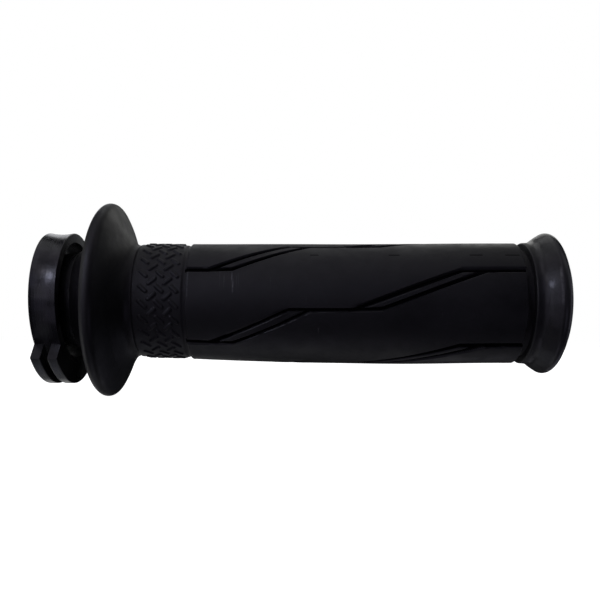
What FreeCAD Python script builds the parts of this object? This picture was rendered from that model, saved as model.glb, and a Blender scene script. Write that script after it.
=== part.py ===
# Throttle grip for a 22.2 mm (7/8 inch) handlebar, in two pieces:
#   throttle_tube  one nylon moulding: cable drum, neck and the long sleeve that turns on the bar
#   grip_rubber    one rubber moulding over the sleeve, keyed to it by six raised keys
#
# Frame: origin at the centre of the handlebar bore, on the drum's inboard face.
# +X runs along the bar towards its outer end, +Z is up, -Y faces the rider's view of the grip.
# Angles about the bar are in degrees from -Y, positive downwards:
#   y = -r cos(a), z = -r sin(a).  All lengths are in millimetres.
import FreeCAD, Part
import math
import os
from FreeCAD import Vector

# ---- driving dimensions ----------------------------------------------------
bore_r = 11.35          # turns on a bar of radius 11.1
sleeve_r = 12.65        # outside of the tube between the drum and the outer end
sleeve_end_x = 135.0

drum_w = 6.8            # width of the cable drum
band_r = 18.15          # plain part of the drum's rim, at its edges
band_waist = 0.35       # how much lower the rim is along its middle
rim_inner_r = 15.7      # recess in the drum's outboard face
rim_recess = 3.0
rim_edge = 0.18         # rounding of the drum's edges

rib_r = 22.8            # two flanges that hold the cable in its track
rib_w = 2.45
rib_edge = 0.3
rib_start_a = 43.5      # angle of the tip of the flanges' leading end
rib_root_a = 41.8       # angle of its root: the end face slopes up from the rim
rib_end_a = 205.0

nipple_r = 2.8          # barrel seat for the cable's end, across both flanges
nipple_relief_r = 3.1   # the seat is a little wider inside the cable track
nipple_at_r = 19.2
nipple_a = 165.0        # near the end of the track, on the side away from the rider

key_count = 6           # keys that stop the rubber turning on the sleeve
key_w = 2.4
key_h = 0.7
key_x0, key_x1 = 20.0, 130.0
glue_line = 0.03        # adhesive between sleeve and rubber

hub_x0 = 8.8            # inboard edge of the rubber, close to the drum
hub_r = 13.35
back_x = 13.2           # inboard face of the hand flange, at the hub
seam_x = 38.4           # groove between the patterned collar and the smooth body
seam_w = 0.8
seam_r = 15.0
ring_x0, ring_x1 = 126.1, 128.0   # groove before the outer flare
ring_r = 14.75
end_x = 137.6           # outer end of the grip
lip_r = 11.9            # opening in the rubber at the outer end

groove_count = 5        # long stepped grooves around the body
groove_depth = 1.0

# outline of the hand flange, from its inboard edge over the crest to the collar
flange_back = [(14.2, 22.4), (14.5, 24.4), (15.3, 25.65), (16.1, 26.15), (16.9, 26.2)]
flange_front = [(16.9, 26.2), (18.0, 25.55), (18.6, 24.5), (19.1, 23.5), (20.5, 20.0),
                (21.9, 17.1), (23.3, 15.5), (24.6, 15.05), (25.7, 15.15), (26.8, 15.3)]
# swelling of the smooth body
body = [(seam_x + seam_w / 2 + 0.5, 15.72), (46.0, 15.86), (54.3, 16.02), (68.0, 16.2),
        (81.0, 16.3), (95.0, 16.42), (109.0, 16.42), (120.0, 16.38), (ring_x0 - 0.35, 16.38)]
# outer flare
flare = [(ring_x1 + 0.3, 16.5), (129.4, 16.46), (130.8, 16.9), (131.9, 17.7), (133.0, 18.7),
         (134.1, 19.1), (134.9, 18.97), (135.7, 18.46), (136.6, 17.2), (137.25, 15.75)]

# centre lines of one groove pair, as (x, angle, width); the second line of each
# pair leaves the first and joins it again, and a narrow strip stays between them
main_line = [(38.9, 44.05, 0.95), (44.6, 44.05, 1.0), (62.6, 12.5, 1.0), (64.6, 9.0, 0.85), (81.4, 8.2, 0.85),
             (83.4, 5.6, 1.05), (107.0, -24.8, 1.15), (109.4, -27.9, 1.15), (126.6, -27.9, 1.15)]
side_line_in = [(44.5, 44.05, 0.8), (49.9, 42.9, 0.85), (69.7, 9.1, 0.85), (77.0, 8.8, 0.8)]
side_line_out = [(80.5, 8.2, 0.8), (88.9, 6.9, 0.9), (115.7, -27.4, 0.95), (121.0, -27.9, 0.9)]


# ---- helpers ---------------------------------------------------------------
def at(x, r, a):
    t = math.radians(a)
    return Vector(x, -r * math.cos(t), -r * math.sin(t))


def pt(xr):
    return Vector(xr[0], xr[1], 0.0)


def line(a, b):
    return Part.makeLine(pt(a), pt(b))


def curve(points):
    c = Part.BSplineCurve()
    c.interpolate([pt(p) for p in points])
    return c.toShape()


def arc(a, mid, b):
    return Part.Arc(pt(a), pt(mid), pt(b)).toShape()


def turned(edges, sweep=360.0):
    """Revolve a closed outline, given in (x, r), about the bar's axis."""
    wire = Part.Wire(Part.__sortEdges__(edges))
    face = Part.Face(wire)
    return face.revolve(Vector(0, 0, 0), Vector(1, 0, 0), sweep)


def poly(points):
    pts = list(points) + [points[0]]
    return [line(pts[i], pts[i + 1]) for i in range(len(points))]


def rounded_box(x0, x1, r0, r1, e, waist=0.0):
    """Outline of a ring whose two outer edges are rounded by e; its outside may be hollowed by waist."""
    k = e * (1 - math.sqrt(0.5))
    n = 10 if waist else 1
    top = [(x0 + e + (x1 - x0 - 2 * e) * i / n, r1 - waist * (1 - (2 * i / n - 1) ** 2)) for i in range(n + 1)]
    outside = [line(top[i], top[i + 1]) for i in range(n)]     # short cones stand for the hollow
    return [line((x0, r0), (x0, r1 - e)),
            arc((x0, r1 - e), (x0 + k, r1 - k), (x0 + e, r1))] + outside + [
            arc((x1 - e, r1), (x1 - k, r1 - k), (x1, r1 - e)),
            line((x1, r1 - e), (x1, r0)),
            line((x1, r0), (x0, r0))]


def tube(x0, x1, r0, r1):
    return turned(poly([(x0, r0), (x1, r0), (x1, r1), (x0, r1)]))


def turn_to(shape, degrees):
    """Turn a shape about the bar so that what was at angle 0 comes to `degrees`."""
    s = shape.copy()
    s.rotate(Vector(0, 0, 0), Vector(1, 0, 0), degrees)
    return s


def keys(grow):
    """The raised keys on the sleeve; `grow` adds clearance all round."""
    w, h = key_w + 2 * grow, key_h + grow
    block = Part.makeBox(key_x1 - key_x0 + 2 * grow, h + 1.0, w,
                         Vector(key_x0 - grow, -(sleeve_r + h), -w / 2))
    out = []
    for i in range(key_count):
        out.append(turn_to(block, 360.0 / key_count * i + 30.0))
    return out


def groove_cutter(path, depth):
    """A ribbon that follows `path` around the body and stands through its skin."""
    # points along the path, with the spacing small enough to follow the curve
    fine, width = [], []
    for i in range(len(path) - 1):
        (x0, a0, w0), (x1, a1, w1) = path[i], path[i + 1]
        n = max(1, int(math.ceil(abs(a1 - a0) / 6.0)))
        for j in range(n):
            t = j / n
            fine.append((x0 + (x1 - x0) * t, a0 + (a1 - a0) * t))
            width.append(w0 + (w1 - w0) * t)
    fine.append(path[-1][:2])
    width.append(path[-1][2])
    rm = 16.3
    wires = []
    for i, (x, a) in enumerate(fine):
        p0 = fine[max(i - 1, 0)]
        p1 = fine[min(i + 1, len(fine) - 1)]
        dx = p1[0] - p0[0]
        ds = math.radians(p1[1] - p0[1]) * rm
        n = math.hypot(dx, ds)
        nx, ns = -ds / n, dx / n                 # normal to the path, on the skin
        h = width[i] / 2
        floor = skin_r(x) - depth
        top = 18.0
        corners = []
        for side, r in ((-1, floor), (1, floor), (1.35, top), (-1.35, top)):
            px = x + nx * h * side
            pa = a + math.degrees(ns * h * side / rm)
            corners.append(at(px, r, pa))
        wires.append(Part.makePolygon(corners + [corners[0]]))
    return Part.makeLoft(wires, True, True)


def skin_r(x):
    """Radius of the smooth body at x, by straight pieces between its stations."""
    if x <= body[0][0]:
        return body[0][1]
    for (x0, r0), (x1, r1) in zip(body, body[1:]):
        if x <= x1:
            return r0 + (r1 - r0) * (x - x0) / (x1 - x0)
    return body[-1][1]


# ---- throttle tube ---------------------------------------------------------
sleeve = tube(0.0, sleeve_end_x, bore_r, sleeve_r)
web = tube(0.0, drum_w - rim_recess, bore_r, rim_inner_r + 0.5)
rim = turned(rounded_box(0.0, drum_w, rim_inner_r, band_r, rim_edge, band_waist))
body_parts = [web, rim]
for x0 in (0.0, drum_w - rib_w):
    ring = turned(rounded_box(x0, x0 + rib_w, band_r - 1.0, rib_r, rib_edge),
                  rib_end_a - (rib_start_a - 6.0))
    # the outline starts on +Y; bring its start to the flanges' leading angle
    ring.rotate(Vector(0, 0, 0), Vector(1, 0, 0), 180.0 + rib_start_a - 6.0)
    body_parts.append(ring)
drum = body_parts[0].fuse(body_parts[1:])
# leading end of the flanges: the face slopes up from the rim to the tip
root, tip = at(-1, band_r, rib_root_a), at(-1, rib_r, rib_start_a)
low, high = root + (root - tip) * 0.15, tip + (tip - root) * 0.2
lead = Part.makePolygon([at(-1, band_r - 0.7, rib_start_a - 12), low, high,
                         at(-1, rib_r + 3, rib_start_a - 12), at(-1, band_r - 0.7, rib_start_a - 12)])
lead = Part.Face(lead).extrude(Vector(drum_w + 2, 0, 0))
lead = lead.cut(rim)
drum = drum.cut(lead)
throttle_tube = sleeve.fuse([drum] + keys(0.0))
seat = at(-1.0, nipple_at_r, nipple_a)
throttle_tube = throttle_tube.cut(Part.makeCylinder(nipple_r, drum_w + 2, seat, Vector(1, 0, 0)))
track_w = drum_w - 2 * rib_w
throttle_tube = throttle_tube.cut(Part.makeCylinder(nipple_relief_r, track_w, at(rib_w, nipple_at_r, nipple_a),
                                                    Vector(1, 0, 0)))
throttle_tube = throttle_tube.removeSplitter()

# ---- grip rubber -----------------------------------------------------------
inner_r = sleeve_r + glue_line
shoulder_x = sleeve_end_x + glue_line
b0, b1 = body[0], body[-1]
outline = [
    line((hub_x0, inner_r), (hub_x0, hub_r - 0.3)),
    line((hub_x0, hub_r - 0.3), (hub_x0 + 0.3, hub_r)),
    line((hub_x0 + 0.3, hub_r), (back_x, hub_r + 0.2)),
    line((back_x, hub_r + 0.2), flange_back[0]),
    curve(flange_back),
    curve(flange_front),
    line(flange_front[-1], (seam_x - seam_w / 2 - 0.3, 15.3)),
    line((seam_x - seam_w / 2 - 0.3, 15.3), (seam_x - seam_w / 2 + 0.1, seam_r)),
    line((seam_x - seam_w / 2 + 0.1, seam_r), (seam_x + seam_w / 2, seam_r)),
    line((seam_x + seam_w / 2, seam_r), (seam_x + seam_w / 2 + 0.15, 15.45)),
    line((seam_x + seam_w / 2 + 0.15, 15.45), b0),
    curve(body),
    line(b1, (ring_x0, b1[1] - 0.3)),
    line((ring_x0, b1[1] - 0.3), (ring_x0 + 0.15, ring_r)),
    line((ring_x0 + 0.15, ring_r), (ring_x1 - 0.15, ring_r)),
    line((ring_x1 - 0.15, ring_r), (ring_x1, 16.3)),
    line((ring_x1, 16.3), flare[0]),
    curve(flare),
    line(flare[-1], (end_x, flare[-1][1] - 0.45)),
    line((end_x, flare[-1][1] - 0.45), (end_x, lip_r)),
    line((end_x, lip_r), (shoulder_x, lip_r)),
    line((shoulder_x, lip_r), (shoulder_x, inner_r)),
    line((shoulder_x, inner_r), (hub_x0, inner_r)),
]
grip_rubber = turned(outline)
grip_rubber = grip_rubber.cut(keys(glue_line))
cutters = []
for i in range(groove_count):
    for path in (main_line, side_line_in, side_line_out):
        cutters.append(turn_to(groove_cutter(path, groove_depth), 360.0 / groove_count * i))
for c in cutters:
    grip_rubber = grip_rubber.cut(c)

# ---- write the parts -------------------------------------------------------
os.makedirs("parts", exist_ok=True)
for name, shape in (("throttle_tube", throttle_tube), ("grip_rubber", grip_rubber)):
    solids = shape.Solids
    s = solids[0] if len(solids) == 1 else max(solids, key=lambda q: q.Volume)
    b = s.BoundBox
    print(name, "solids", len(solids), "valid", s.isValid(), "volume", round(s.Volume, 1),
          "box", [round(v, 3) for v in (b.XMin, b.YMin, b.ZMin, b.XMax, b.YMax, b.ZMax)],
          "faces", len(s.Faces))
    s.exportStep("parts/%s.step" % name)
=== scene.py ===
# Throttle grip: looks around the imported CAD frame.
# Everything is in the CAD row frame, in metres: +X along the bar towards its outer end, +Z up,
# -Y towards the camera. Angles about the bar run from -Y, positive downwards, as in the CAD source.
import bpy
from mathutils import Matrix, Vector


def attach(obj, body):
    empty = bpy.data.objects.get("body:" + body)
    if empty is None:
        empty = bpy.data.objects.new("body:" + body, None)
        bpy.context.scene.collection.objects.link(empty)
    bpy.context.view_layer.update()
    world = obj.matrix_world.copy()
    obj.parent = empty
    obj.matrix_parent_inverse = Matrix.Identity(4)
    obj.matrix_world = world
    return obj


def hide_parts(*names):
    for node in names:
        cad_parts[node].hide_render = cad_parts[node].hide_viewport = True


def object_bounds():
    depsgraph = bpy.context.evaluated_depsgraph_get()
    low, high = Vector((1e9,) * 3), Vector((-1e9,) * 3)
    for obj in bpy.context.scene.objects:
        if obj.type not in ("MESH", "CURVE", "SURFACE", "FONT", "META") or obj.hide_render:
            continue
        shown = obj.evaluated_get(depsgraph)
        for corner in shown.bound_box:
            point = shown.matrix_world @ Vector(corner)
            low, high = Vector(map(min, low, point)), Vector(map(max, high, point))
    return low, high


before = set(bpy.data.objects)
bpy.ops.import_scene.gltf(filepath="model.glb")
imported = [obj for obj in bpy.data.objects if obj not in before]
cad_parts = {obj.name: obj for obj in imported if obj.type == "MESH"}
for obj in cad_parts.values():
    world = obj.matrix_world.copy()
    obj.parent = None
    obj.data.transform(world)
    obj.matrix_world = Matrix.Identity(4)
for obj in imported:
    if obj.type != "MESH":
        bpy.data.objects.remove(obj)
CAD_BOX = [list(map(float, c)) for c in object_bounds()]

import math

import bpy
import numpy as np
from mathutils import Matrix, Vector

MM = 0.001
rng = np.random.default_rng(7)
scene = bpy.context.scene

# ---------------------------------------------------------------- dimensions (mm)
SLEEVE_R = 12.65
HUB_X, HUB_R, BACK_X = 8.8, 13.35, 13.2
SEAM_R = 15.08
RING_X0, RING_X1, RING_R = 126.1, 128.0, 14.55
END_X, LIP_R, SHOULDER_X = 137.6, 11.9, 135.03
COLLAR_R = 15.3
BACK = [(14.2, 22.4), (14.5, 24.4), (15.3, 25.65), (16.1, 26.15), (16.9, 26.2)]
FRONT = [(16.9, 26.2), (18.0, 25.6), (18.7, 24.55), (19.25, 23.5), (20.72, 20.0),
         (22.12, 17.1), (23.45, 15.5), (24.7, 14.95)]
BODY = [(39.0, 15.72), (46.0, 15.86), (54.3, 16.02), (68.0, 16.2), (81.0, 16.3), (95.0, 16.42),
        (109.0, 16.42), (120.0, 16.38), (125.9, 16.38)]
FLARE = [(128.25, 16.47), (129.2, 16.52), (130.0, 16.64), (130.5, 16.84), (131.0, 17.16), (131.5, 17.555), (132.0, 17.925),
         (132.6, 18.335), (133.3, 18.78), (134.0, 19.09), (134.9, 19.02), (135.7, 18.5), (136.6, 17.22), (137.25, 15.75)]
GROOVES = 5
# centre lines of one groove pair: (x, angle, width)
MAIN = [(37.6, 44.05, 0.9), (44.6, 44.05, 0.85), (63.3, 11.3, 0.78), (65.2, 8.5, 0.75), (81.4, 7.9, 0.75),
        (83.4, 5.6, 0.95), (107.0, -24.8, 1.03), (109.4, -27.9, 1.0), (127.0, -27.9, 1.0)]
SIDE = [[(44.5, 44.05, 0.75), (50.7, 42.9, 0.8), (70.6, 8.9, 0.8), (77.8, 8.3, 0.7)],
        [(80.5, 8.2, 0.8), (88.9, 6.9, 0.9), (115.7, -27.4, 0.95), (121.0, -27.9, 0.9)]]
GROOVE_DEPTH = 1.05
GROOVE_SPREAD = 1.2   # the pairs on the near side stand a little further apart (degrees)


# pale marks painted on the skin (scuffs, and at x 133.6 a painted highlight line on the flare's crest): (x, width,
# from angle, to angle, strength), and short witness lines (x from, x to)
SCUFFS_AND_HIGHLIGHT = [(47.6, 0.15, -27, -10, 0.12), (48.7, 0.17, -22, -10, 0.22), (50.65, 0.26, -24, -13, 0.55), (50.95, 0.26, -17, -5, 0.9),
          (51.9, 0.14, -22, -6, 0.14), (52.4, 0.14, -26, -8, 0.12), (60.5, 0.12, -20, -8, 0.10), (39.35, 0.22, -30, 2, 0.3),
          (72.8, 0.2, 28, 32, 0.8), (69.6, 0.14, -1, 4, 0.14), (133.6, 0.45, -26, 4, 0.35)]
DASH_A, DASHES = -47.0, [(70.4, 73.0), (90.8, 94.0), (111.8, 115.6), (121.0, 125.2)]


# ---------------------------------------------------------------- curves and meshes
def spline(points, step):
    """A natural cubic spline through the points, sampled about every `step` mm."""
    p = np.array(points, float)
    h = np.hypot(*np.diff(p, axis=0).T)
    t = np.concatenate([[0], np.cumsum(h)])
    n = len(p)
    a = np.zeros((n, n)); b = np.zeros((n, 2))
    a[0, 0] = a[-1, -1] = 1
    for i in range(1, n - 1):
        a[i, i - 1], a[i, i], a[i, i + 1] = h[i - 1], 2 * (h[i - 1] + h[i]), h[i]
        b[i] = 6 * ((p[i + 1] - p[i]) / h[i] - (p[i] - p[i - 1]) / h[i - 1])
    m = np.linalg.solve(a, b)
    s = np.linspace(0, t[-1], max(int(round(t[-1] / step)), 2) + 1)
    k = np.clip(np.searchsorted(t, s, side="right") - 1, 0, n - 2)
    u = (s - t[k])[:, None]; hk = h[k][:, None]
    d = hk - u
    return (m[k] * d**3 + m[k + 1] * u**3) / (6 * hk) + (p[k] / hk - m[k] * hk / 6) * d + (p[k + 1] / hk - m[k + 1] * hk / 6) * u


def segment(a, b, step):
    n = max(int(round(math.hypot(b[0] - a[0], b[1] - a[1]) / step)), 1)
    return np.array(a)[None] + (np.array(b) - np.array(a))[None] * np.linspace(0, 1, n + 1)[:, None]


def join(*runs):
    out = [runs[0]]
    for r in runs[1:]:
        out.append(r[1:] if np.allclose(r[0], out[-1][-1]) else r)
    return np.concatenate(out)


# the soft cover sits a little low between its ends: (x, drop of its centre line)
SAG = [(-10.0, 0.0), (20.0, 0.0), (30.0, 0.05), (40.0, 0.22), (50.0, 0.36), (62.0, 0.45), (80.0, 0.52),
       (94.0, 0.50), (104.0, 0.34), (113.0, 0.16), (123.0, 0.02), (150.0, 0.0)]


def sag(x):
    p = np.array(SAG)
    d = np.linspace(-6, 6, 13)
    return np.mean([np.interp(x + k, p[:, 0], p[:, 1]) for k in d], axis=0)


LEAN = 0.019          # the big flange leans a little: x moves by this much per mm of height


def ease(t):
    t = np.clip(t, 0, 1)
    return t * t * (3 - 2 * t)


class Skin:
    """Collects rings of points into one mesh."""

    def __init__(self):
        self.co, self.faces, self.recess, self.n = [], [], [], 0

    def grid(self, x, r, a, recess=None, closed=True):
        """x, r, a (degrees): arrays of rows by columns. Columns close round the bar."""
        # painted shade per point, stored as a mesh attribute
        self.recess.append((np.zeros_like(x) if recess is None else recess).ravel())
        t = np.radians(a)
        x = x - LEAN * r * np.sin(t) * ease((r - 14.0) / 8.0) * (x < 27.0)
        co = np.stack([x, -r * np.cos(t), -r * np.sin(t) - sag(x)], -1) * MM
        rows, cols = x.shape
        idx = self.n + np.arange(rows * cols).reshape(rows, cols)
        nxt = np.roll(idx, -1, axis=1) if closed else idx[:, 1:]
        cur = idx if closed else idx[:, :-1]
        f = np.stack([cur[:-1], cur[1:], nxt[1:], nxt[:-1]], -1).reshape(-1, 4)
        self.co.append(co.reshape(-1, 3)); self.faces.append(f); self.n += rows * cols

    def turned(self, profile, cols):
        a = np.arange(cols) * 360.0 / cols
        x = np.repeat(profile[:, :1], cols, 1); r = np.repeat(profile[:, 1:], cols, 1)
        self.grid(x, r, np.repeat(a[None], len(profile), 0))

    def object(self, name, sharp=None):
        me = bpy.data.meshes.new(name)
        co = np.concatenate(self.co); f = np.concatenate(self.faces)
        me.vertices.add(len(co)); me.vertices.foreach_set("co", co.astype(np.float32).ravel())
        me.loops.add(len(f) * 4); me.loops.foreach_set("vertex_index", f.astype(np.int32).ravel())
        me.polygons.add(len(f)); me.polygons.foreach_set("loop_start", np.arange(len(f), dtype=np.int32) * 4)
        me.update(calc_edges=True); me.validate()
        at = me.attributes.new("recess", "FLOAT", "POINT")
        at.data.foreach_set("value", np.concatenate(self.recess).astype(np.float32))
        me.polygons.foreach_set("use_smooth", np.ones(len(me.polygons), bool))
        if sharp is not None:
            me.set_sharp_from_angle(angle=math.radians(sharp))
        ob = bpy.data.objects.new(name, me)
        scene.collection.objects.link(ob)
        return ob


def path_at(path, x):
    p = np.array(path)
    return np.interp(x, p[:, 0], p[:, 1])


def groove_amount(x, a, r):
    """How deep the grooves are at each point, 0 on the skin to 1 on their floor, and how much painted shade darkens
    them. Each groove is steep above and eased below."""
    out = np.zeros_like(x)
    groove_shade = np.zeros_like(x)
    lip = np.zeros_like(x)
    half = 360.0 / GROOVES / 2
    for path in [MAIN] + SIDE:
        for i in range(len(path) - 1):
            (x0, a0, w0), (x1, a1, w1) = path[i], path[i + 1]
            near = (x > x0 - 1.5) & (x < x1 + 1.5)
            if not near.any():
                continue
            xs, as_, rs = x[near], a[near], r[near]
            k = math.radians(1) * rs
            mid = (a0 + a1) / 2
            da = (as_ - mid + half) % (2 * half) - half + mid    # nearest copy of the groove
            px, ps = xs - x0, (da - a0) * k
            sx, ss = x1 - x0, (a1 - a0) * k
            t = np.clip((px * sx + ps * ss) / (sx * sx + ss * ss), 0, 1)
            d = np.hypot(px - t * sx, ps - t * ss)
            side = np.abs(as_) > 34.0
            w = (w0 + (w1 - w0) * t) / 2 + (0.24 if x0 > 80 and path is SIDE[1] else 0.06) * side
            below = ps - t * ss > 0
            e = 0.13
            g = np.clip((w + e - d) / (e + np.where(below, 0.28, e)), 0, 1)
            g = g * g * (3 - 2 * g)
            out[near] = np.maximum(out[near], g)
            # painted shade: full in the grooves round the side, eased on each groove's lower wall
            g = np.where(side, np.clip(3 * g, 0, 1), np.where(below, g ** 1.6, g))
            groove_shade[near] = np.maximum(groove_shade[near], g)
            if x1 < 79.0:                                       # a faint raised lip below the groove
                lip[near] = np.maximum(lip[near], np.exp(-((d - w - 0.3) / 0.17) ** 2) * below)
    return out, groove_shade, lip * (out < 0.02)


def bars(x, a):
    """Height, 0 to 1, of the collar's short raised bars, set in slanting rows."""
    out = np.zeros_like(x)
    k = math.radians(1) * COLLAR_R
    pitch = 15.0
    for j, xc in enumerate((27.9, 30.2, 32.1, 34.15, 35.8)):
        slope = 1 if j % 2 == 0 else -1
        phase = 5.9 if j % 2 == 0 else -1.6
        da = (a - phase + pitch / 2) % pitch - pitch / 2
        for wrap in (-pitch, 0.0, pitch):
            px, ps = x - xc, (da - wrap) * k
            ang = math.radians(42.0) * slope
            u = px * math.cos(ang) + ps * math.sin(ang)
            v = -px * math.sin(ang) + ps * math.cos(ang)
            du = np.abs(u) - (1.45 - 0.42); dv = np.abs(v) - (0.42 - 0.42)
            d = np.hypot(np.maximum(du, 0), np.maximum(dv, 0)) - 0.42
            g = np.clip((0.14 - d) / 0.24, 0, 1)
            out = np.maximum(out, g * g * (3 - 2 * g))
    return out


# ---------------------------------------------------------------- rubber cover
skin = Skin()
# hub lip, back of the flange, crest and front, down to the neck of the collar
back = join(segment((HUB_X, SLEEVE_R + 0.03), (HUB_X, HUB_R - 0.35), 0.35),
            spline([(HUB_X, HUB_R - 0.35), (HUB_X + 0.10, HUB_R - 0.10), (HUB_X + 0.35, HUB_R)], 0.1),
            spline([(HUB_X + 0.35, HUB_R), (9.55, HUB_R - 0.02), (10.0, 13.08), (10.45, 12.98), (10.8, 13.06), (11.15, 12.98),
                    (11.5, 13.06), (11.85, 12.98), (12.3, 13.04), (12.75, 13.22), (BACK_X - 0.2, HUB_R + 0.12)], 0.08),
            spline([(BACK_X - 0.2, HUB_R + 0.12), (BACK_X - 0.02, HUB_R + 0.24), (BACK_X + 0.03, HUB_R + 0.5)], 0.12),
            segment((BACK_X + 0.03, HUB_R + 0.5), (14.12, 21.6), 0.6))
skin.turned(join(back, spline([(14.12, 21.6)] + BACK[:] + FRONT[1:5], 0.28)), 256)
skin.turned(join(spline(FRONT[4:], 0.3), spline([(24.7, 14.95), (24.85, 14.97), (25.0, 15.1), (25.3, 15.27), (25.8, 15.3)], 0.1),
                 segment((25.8, 15.3), (26.4, 15.3), 0.3)), 256)

# patterned collar
xs = np.concatenate([np.arange(26.4, 37.3, 0.15), np.array([37.4, 37.55, 37.7, 37.85, 38.0, 38.15, 38.3, 38.5])])
cols = 600
ac = np.arange(cols) * 360.0 / cols
X, A = np.meshgrid(xs, ac, indexing="ij")
R = COLLAR_R + 0.38 * bars(X, A)
fade = np.clip((X - 37.5) / 0.8, 0, 1)
R = R - (COLLAR_R - SEAM_R) * fade * fade * (3 - 2 * fade)
skin.grid(X, R, A)

# smooth body: the columns run along the grooves, close together beside them
dense = np.arange(-1.8, 12.6, 0.62)
sparse = np.linspace(12.6, 72.0 - 1.8, 38)[:-1]
off = np.concatenate([dense, sparse])
off = np.concatenate([off + 72.0 * i for i in range(GROOVES)])
xs = np.concatenate([np.array([38.3, 38.72, 38.78, 38.84, 38.92, 39.02, 39.15, 39.3]), np.arange(39.6, 125.6, 0.36),
                     np.array([125.6, 125.75, 125.87, 125.97, 126.04, 126.09, 126.13, 126.2, 126.26, 126.34, 126.6])])
X = np.repeat(xs[:, None], len(off), 1)
A = off[None] + path_at(MAIN, xs)[:, None]
body = spline(BODY, 0.5)
base = np.interp(xs, body[:, 0], body[:, 1])
t = np.clip((xs - 38.72) / 0.4, 0, 1)
base = np.where(xs < 39.15, SEAM_R + (15.72 - SEAM_R) * np.sqrt(np.clip(1 - (1 - t) ** 2, 0, 1)), base)
t = np.clip((126.2 - xs) / 0.45, 0, 1)
base = np.where(xs > 125.75, RING_R + (16.38 - RING_R) * np.sqrt(np.clip(1 - (1 - t) ** 2, 0, 1)), base)
R = np.repeat(base[:, None], len(off), 1)
# the second array returned is the painted shade of the grooves, carried to the material as a mesh attribute
G, GROOVE_SHADE, LIP = groove_amount(X, A, R)
floor = np.maximum(R - GROOVE_DEPTH, 14.5)
R = np.where(G > 0, R + (floor - R) * G, R) + 0.05 * LIP
skin.grid(X, R, A + GROOVE_SPREAD * np.sin(np.radians(A)), GROOVE_SHADE)

# ring groove, outer flare, end face and lip
ring = join(segment((126.2, RING_R), (127.97, RING_R), 0.4),
            segment((127.97, RING_R), (128.0, 16.15), 0.25),
            spline([(128.0, 16.15), (128.08, 16.36), (128.25, 16.47)], 0.08),
            spline(FLARE, 0.28),
            spline([(137.25, 15.75), (137.5, 15.35), (END_X, 14.95)], 0.15),
            segment((END_X, 14.95), (END_X, LIP_R + 0.25), 0.6),
            spline([(END_X, LIP_R + 0.25), (END_X - 0.08, LIP_R + 0.07), (END_X - 0.25, LIP_R)], 0.08),
            segment((END_X - 0.25, LIP_R), (SHOULDER_X, LIP_R), 0.5),
            segment((SHOULDER_X, LIP_R), (SHOULDER_X, SLEEVE_R + 0.03), 0.4))
skin.turned(ring, 256)
skin.turned(segment((SHOULDER_X, SLEEVE_R + 0.75), (HUB_X, SLEEVE_R + 0.75), 12.0), 96)
cover = skin.object("rubber_cover", sharp=50)


# ---------------------------------------------------------------- materials
class Nodes:
    def __init__(self, name):
        self.m = bpy.data.materials.new(name)
        self.m.use_nodes = True
        self.t = self.m.node_tree
        self.t.nodes.clear()
        self.out = self.t.nodes.new("ShaderNodeOutputMaterial")
        self.p = self.t.nodes.new("ShaderNodeBsdfPrincipled")
        self.t.links.new(self.p.outputs[0], self.out.inputs[0])
        self.co = self.t.nodes.new("ShaderNodeTexCoord").outputs["Object"]

    def put(self, socket, value):
        if hasattr(value, "is_output") or hasattr(value, "links"):
            self.t.links.new(value, socket)
        else:
            socket.default_value = value

    def math(self, op, a, b=0.0, c=0.0, clamp=False):
        n = self.t.nodes.new("ShaderNodeMath"); n.operation = op; n.use_clamp = clamp
        for s, v in zip(n.inputs, (a, b, c)):
            self.put(s, v)
        return n.outputs[0]

    def mapped(self, scale, offset=(0, 0, 0), rotation=(0, 0, 0)):
        n = self.t.nodes.new("ShaderNodeMapping")
        n.inputs["Scale"].default_value = scale; n.inputs["Location"].default_value = offset
        n.inputs["Rotation"].default_value = rotation
        self.t.links.new(self.co, n.inputs["Vector"])
        return n.outputs[0]

    def noise(self, scale, detail=3.0, rough=0.5, vector=None, distortion=0.0):
        n = self.t.nodes.new("ShaderNodeTexNoise")
        n.inputs["Scale"].default_value = scale; n.inputs["Detail"].default_value = detail
        n.inputs["Roughness"].default_value = rough; n.inputs["Distortion"].default_value = distortion
        self.t.links.new(vector or self.co, n.inputs["Vector"])
        return n.outputs["Fac"]

    def ramp(self, value, lo, hi, a=0.0, b=1.0, smooth=True):
        n = self.t.nodes.new("ShaderNodeMapRange")
        if smooth:
            n.interpolation_type = "SMOOTHSTEP"
        self.put(n.inputs["Value"], value)
        for k, v in (("From Min", lo), ("From Max", hi), ("To Min", a), ("To Max", b)):
            n.inputs[k].default_value = v
        return n.outputs["Result"]

    def mix(self, fac, a, b):
        n = self.t.nodes.new("ShaderNodeMix"); n.data_type = "RGBA"
        self.put(n.inputs[0], fac); self.put(n.inputs[6], a); self.put(n.inputs[7], b)
        return n.outputs[2]

    def bump(self, height, strength, distance, normal=None):
        n = self.t.nodes.new("ShaderNodeBump")
        n.inputs["Strength"].default_value = strength; n.inputs["Distance"].default_value = distance
        self.t.links.new(height, n.inputs["Height"])
        if normal is not None:
            self.t.links.new(normal, n.inputs["Normal"])
        return n.outputs[0]


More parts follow.
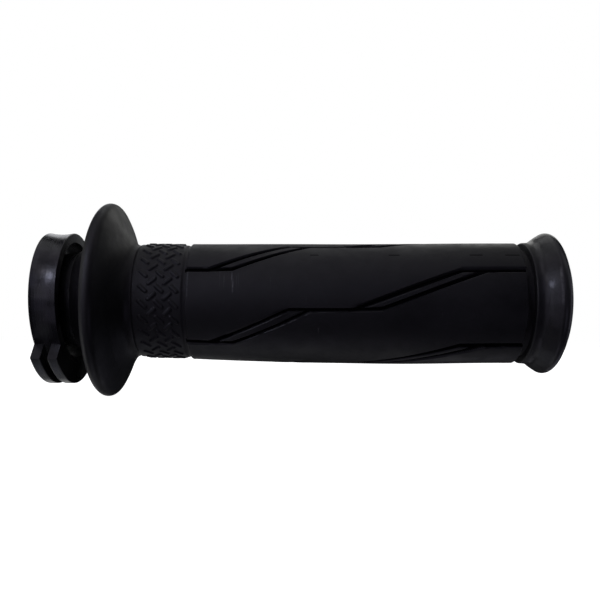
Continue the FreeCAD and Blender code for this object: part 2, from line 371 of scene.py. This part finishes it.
def rubber():
    n = Nodes("black_rubber")
    broad = n.noise(38, 3, 0.55)
    mid = n.noise(260, 4, 0.6)
    fine = n.noise(2600, 2, 0.5)
    dust = n.ramp(n.noise(900, 2, 0.6), 0.66, 0.76)
    tone = n.mix(n.ramp(broad, 0.35, 0.7), (0.0085, 0.0083, 0.0092, 1), (0.0125, 0.0122, 0.0135, 1))
    tone = n.mix(n.math("MULTIPLY", dust, 0.25), tone, (0.03, 0.03, 0.031, 1))
    axis = n.t.nodes.new("ShaderNodeSeparateXYZ"); n.t.links.new(n.co, axis.inputs[0])
    turn = n.math("MULTIPLY", n.math("ARCTAN2", n.math("MULTIPLY", axis.outputs["Z"], -1.0),
                                     n.math("MULTIPLY", axis.outputs["Y"], -1.0)), math.degrees(1))
    # pale rings painted on the upper front: scuffs from handling, and at x 133.6 a painted highlight along the flare's
    # crest
    scuff_and_highlight = 0.0
    for x, w, a0, a1, k in SCUFFS_AND_HIGHLIGHT:
        ring = n.ramp(n.math("ABSOLUTE", n.math("SUBTRACT", axis.outputs["X"], x * MM)), w * 0.35 * MM, w * MM, k, 0.0)
        part = n.math("MULTIPLY", n.ramp(turn, a0 - 3, a0 + 3), n.ramp(turn, a1 - 6, a1 + 3, 1.0, 0.0))
        scuff_and_highlight = n.math("MAXIMUM", scuff_and_highlight, n.math("MULTIPLY", ring, part))
    scuff_and_highlight = n.math("MULTIPLY", scuff_and_highlight, n.ramp(n.noise(1, 3, 0.6, n.mapped((300, 900, 900))), 0.35, 0.6, 0.4, 1.0))
    tone = n.mix(scuff_and_highlight, tone, (0.14, 0.14, 0.145, 1))
    # painted light: the outer edge of the flare is painted paler, standing in for light reflected onto it from behind
    # the right end
    tone = n.mix(n.ramp(axis.outputs["X"], 0.1339, 0.1346), tone, (0.034, 0.034, 0.036, 1))
    # short witness lines of the mould along the top
    dash = 0.0
    for x0, x1 in DASHES:
        run = n.math("MULTIPLY", n.ramp(axis.outputs["X"], x0 * MM, (x0 + 0.4) * MM), n.ramp(axis.outputs["X"], (x1 - 0.4) * MM, x1 * MM, 1.0, 0.0))
        dash = n.math("MAXIMUM", dash, run)
    dash = n.math("MULTIPLY", dash, n.ramp(n.math("ABSOLUTE", n.math("SUBTRACT", turn, DASH_A)), 0.45, 0.9, 1.0, 0.0))
    tone = n.mix(n.math("MULTIPLY", dash, 0.95), tone, (0.002, 0.002, 0.002, 1))
    # painted shade: the groove floors are darkened towards black by the shade attribute
    deep = n.t.nodes.new("ShaderNodeAttribute"); deep.attribute_name = "recess"
    tone = n.mix(n.ramp(deep.outputs["Fac"], 0.5, 0.95, 0.0, 0.75), tone, (0.001, 0.001, 0.001, 1))
    n.put(n.p.inputs["Base Color"], tone)
    r = n.math("ADD", n.ramp(broad, 0.3, 0.75, 0.43, 0.55), n.ramp(mid, 0.3, 0.7, -0.05, 0.05))
    n.put(n.p.inputs["Roughness"], r)
    # painted shade: the hub behind the flange and the floors of the grooves get little specular, standing in for the
    # shade between drum and flange and inside the grooves
    shine = n.math("MULTIPLY", n.ramp(axis.outputs["X"], 0.0133, 0.0140, 0.08, 0.5),
                   n.ramp(deep.outputs["Fac"], 0.5, 0.95, 1.0, 0.1))
    n.put(n.p.inputs["Specular IOR Level"], n.math("MULTIPLY", shine, n.ramp(dash, 0.0, 1.0, 1.0, 0.15)))
    # the flared end is polished by the hand
    n.put(n.p.inputs["Coat Weight"], n.ramp(axis.outputs["X"], 0.1284, 0.1300, 0.0, 0.30))
    n.p.inputs["Coat Roughness"].default_value = 0.15
    b1 = n.bump(fine, 0.18, 0.00012)
    n.put(n.p.inputs["Normal"], n.bump(mid, 0.12, 0.0006, b1))
    return n.m


def plastic():
    n = Nodes("black_nylon")
    broad = n.noise(70, 3, 0.55)
    streak = n.noise(1, 4, 0.6, n.mapped((1400, 60, 60)))
    fine = n.noise(1800, 2, 0.5)
    tone = n.mix(n.ramp(broad, 0.3, 0.7), (0.010, 0.010, 0.011, 1), (0.016, 0.016, 0.0175, 1))
    n.put(n.p.inputs["Base Color"], tone)
    r = n.math("ADD", n.ramp(broad, 0.3, 0.75, 0.25, 0.34), n.ramp(streak, 0.35, 0.7, -0.03, 0.05))
    n.put(n.p.inputs["Roughness"], r)
    n.p.inputs["Coat Weight"].default_value = 0.35
    n.p.inputs["Coat Roughness"].default_value = 0.14
    b1 = n.bump(fine, 0.10, 0.0001)
    n.put(n.p.inputs["Normal"], n.bump(streak, 0.08, 0.0002, b1))
    return n.m


cover.data.materials.append(rubber())
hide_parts("grip_rubber")
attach(cover, "root")

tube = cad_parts["throttle_tube"]
nylon = plastic()
if not tube.material_slots:
    tube.data.materials.append(nylon)
for s in tube.material_slots:
    s.link = "OBJECT"
    s.material = nylon

# ---------------------------------------------------------------- stage
def plane(name, size, where, rot=(0, 0, 0)):
    me = bpy.data.meshes.new(name)
    h = size / 2
    me.from_pydata([(-h, -h, 0), (h, -h, 0), (h, h, 0), (-h, h, 0)], [], [(0, 1, 2, 3)])
    ob = bpy.data.objects.new(name, me)
    ob.location = where; ob.rotation_euler = rot
    scene.collection.objects.link(ob)
    return ob


FLOOR_Z = CAD_BOX[0][2] - 0.0002
floor_ob = plane("floor", 6.0, (0.07, 1.0, FLOOR_Z))
fm = bpy.data.materials.new("pale_floor"); fm.use_nodes = True
p = fm.node_tree.nodes["Principled BSDF"]
p.inputs["Base Color"].default_value = (0.86, 0.86, 0.86, 1)
p.inputs["Roughness"].default_value = 0.9
p.inputs["Emission Color"].default_value = (1, 1, 1, 1)
p.inputs["Emission Strength"].default_value = 1.0
floor_ob.data.materials.append(fm)
floor_ob.visible_glossy = False
floor_ob.visible_diffuse = False
floor_ob.visible_shadow = False       # light bounced up from below reaches the part

world = bpy.data.worlds.new("studio"); scene.world = world; world.use_nodes = True
wt = world.node_tree; wt.nodes.clear()
wo = wt.nodes.new("ShaderNodeOutputWorld")
seen = wt.nodes.new("ShaderNodeBackground"); seen.inputs[0].default_value = (1, 1, 1, 1); seen.inputs[1].default_value = 1.0
lit = wt.nodes.new("ShaderNodeBackground"); lit.inputs[0].default_value = (0.95, 0.97, 1.0, 1); lit.inputs[1].default_value = 0.0
lp = wt.nodes.new("ShaderNodeLightPath"); mx = wt.nodes.new("ShaderNodeMixShader")
wt.links.new(lp.outputs["Is Camera Ray"], mx.inputs[0])
wt.links.new(lit.outputs[0], mx.inputs[1]); wt.links.new(seen.outputs[0], mx.inputs[2])
wt.links.new(mx.outputs[0], wo.inputs[0])


def area(name, where, look, size, power, color=(1, 1, 1), size_y=None, spread=None):
    l = bpy.data.lights.new(name, "AREA")
    l.energy = power; l.size = size; l.color = color
    if size_y:
        l.shape = "RECTANGLE"; l.size_y = size_y
    if spread:
        l.spread = spread
    ob = bpy.data.objects.new(name, l)
    ob.location = where
    ob.rotation_euler = (Vector(look) - Vector(where)).to_track_quat("-Z", "Y").to_euler()
    scene.collection.objects.link(ob)
    return ob


# soft boxes round the part: side angle, height angle, size (m), power (W), colour
BOXES = [
    (-38, -130, 0.50, 0.323, (1.00, 1.00, 1.01)),
    (-38, -30, 0.50, 0.107, (1.04, 0.95, 1.35)),
    (-38, 12, 0.50, 0.207, (1.02, 0.96, 1.29)),
    (-38, 45, 0.50, 0.255, (0.98, 0.98, 1.23)),
    (-38, 82, 0.50, 0.142, (1.06, 0.96, 1.18)),
    (-38, 102, 0.50, 0.123, (0.99, 1.00, 1.06)),
    (-18, -155, 0.50, 0.308, (1.00, 1.00, 1.01)),
    (-18, -130, 0.50, 0.074, (0.96, 1.00, 1.11)),
    (-18, -105, 0.50, 0.156, (0.97, 0.99, 1.19)),
    (-18, -55, 0.50, 0.089, (0.98, 0.99, 1.14)),
    (-18, -30, 0.50, 0.072, (1.01, 0.97, 1.22)),
    (-18, -8, 0.50, 0.106, (1.04, 0.95, 1.41)),
    (-18, 12, 0.50, 0.271, (1.01, 0.98, 1.18)),
    (-18, 45, 0.50, 0.194, (1.04, 0.98, 1.07)),
    (-18, 82, 0.50, 0.125, (1.03, 0.98, 1.13)),
    (-18, 102, 0.50, 0.195, (0.98, 1.00, 1.04)),
    (-18, 150, 0.50, 0.778, (0.99, 1.00, 1.04)),
    (0, -105, 0.50, 0.216, (0.99, 1.00, 1.03)),
    (0, -80, 0.50, 0.255, (1.01, 0.97, 1.25)),
    (0, 30, 0.50, 0.193, (0.99, 0.96, 1.42)),
    (0, 62, 0.50, 0.325, (1.01, 0.98, 1.15)),
    (0, 82, 0.50, 0.190, (1.01, 0.98, 1.16)),
    (0, 102, 0.50, 0.189, (1.00, 0.99, 1.06)),
    (0, 125, 0.50, 0.499, (0.99, 1.00, 1.01)),
    (18, -130, 0.50, 0.188, (0.99, 0.99, 1.09)),
    (18, 102, 0.50, 0.154, (0.99, 1.00, 1.01)),
    (18, 150, 0.50, 0.811, (1.00, 1.00, 0.98)),
    (40, -130, 0.50, 0.204, (0.97, 0.98, 1.25)),
    (40, -30, 0.50, 0.218, (1.02, 0.96, 1.37)),
    (40, 82, 0.50, 0.294, (1.00, 0.99, 1.07)),
    (-64, -145, 0.55, 0.262, (0.98, 1.01, 0.99)),
    (-64, -100, 0.55, 0.354, (1.00, 0.99, 1.07)),
    (-64, -15, 0.55, 0.211, (1.01, 0.97, 1.25)),
    (-64, 25, 0.55, 0.291, (0.99, 0.98, 1.18)),
    (-64, 65, 0.55, 0.624, (1.00, 1.00, 1.05)),
    (-64, 145, 0.55, 0.318, (0.99, 1.01, 0.95)),
    (64, 105, 0.55, 0.238, (0.97, 1.00, 1.11)),
    (64, 180, 0.55, 0.218, (1.00, 0.98, 1.22)),
    (-30, 30, 0.12, 0.090, (1.00, 0.97, 1.30)),
    (-30, 46, 0.12, 0.080, (1.01, 1.00, 0.97)),
    (-20, 46, 0.12, 0.061, (1.07, 0.96, 1.16)),
    (-56, 46, 0.12, 0.131, (0.95, 0.97, 1.43)),
    (18, 168, 0.30, 0.034, (0.98, 1.00, 1.06)),
    (28, 168, 0.30, 0.198, (0.96, 1.01, 1.01)),
]
# small lamps close to the part: place (m), size, power, colour
LAMPS = [
    ((-0.083, -0.129, 0.108), 0.06, 0.0024, (0.90, 0.98, 1.46)),
    ((-0.110, -0.160, 0.130), 0.04, 0.0260, (0.95, 0.98, 1.29)),
]
CENTRE = Vector((0.07, 0.0, 0.0))
for k, (side, up, size, power, tint) in enumerate(BOXES):
    sr, ur = math.radians(side), math.radians(up)
    where = CENTRE + 1.2 * Vector((math.sin(sr), -math.cos(sr) * math.cos(ur), math.cos(sr) * math.sin(ur)))
    area("box_%02d" % k, where, CENTRE, size, power, tint)
for k, (where, size, power, tint) in enumerate(LAMPS):
    area("lamp_%02d" % k, where, CENTRE, size, power, tint)

# ---------------------------------------------------------------- camera
cam = bpy.data.cameras.new("camera")
cam.sensor_width = 36.0; cam.sensor_fit = "HORIZONTAL"
cam.lens = 721.0 * 36.0 / 600.0
cam.shift_x = -2.0 / 600.0
cam.shift_y = 38.6 / 600.0
cam.clip_start = 0.01; cam.clip_end = 50
co = bpy.data.objects.new("camera", cam)
co.matrix_world = Matrix.Translation((0.06864, -0.1983, -0.01012)) @ Matrix.Rotation(math.radians(90), 4, "X") @ Matrix.Rotation(0.0074, 4, "Z")
scene.collection.objects.link(co)
scene.camera = co
scene.view_settings.view_transform = "Standard"
scene.view_settings.look = "None"
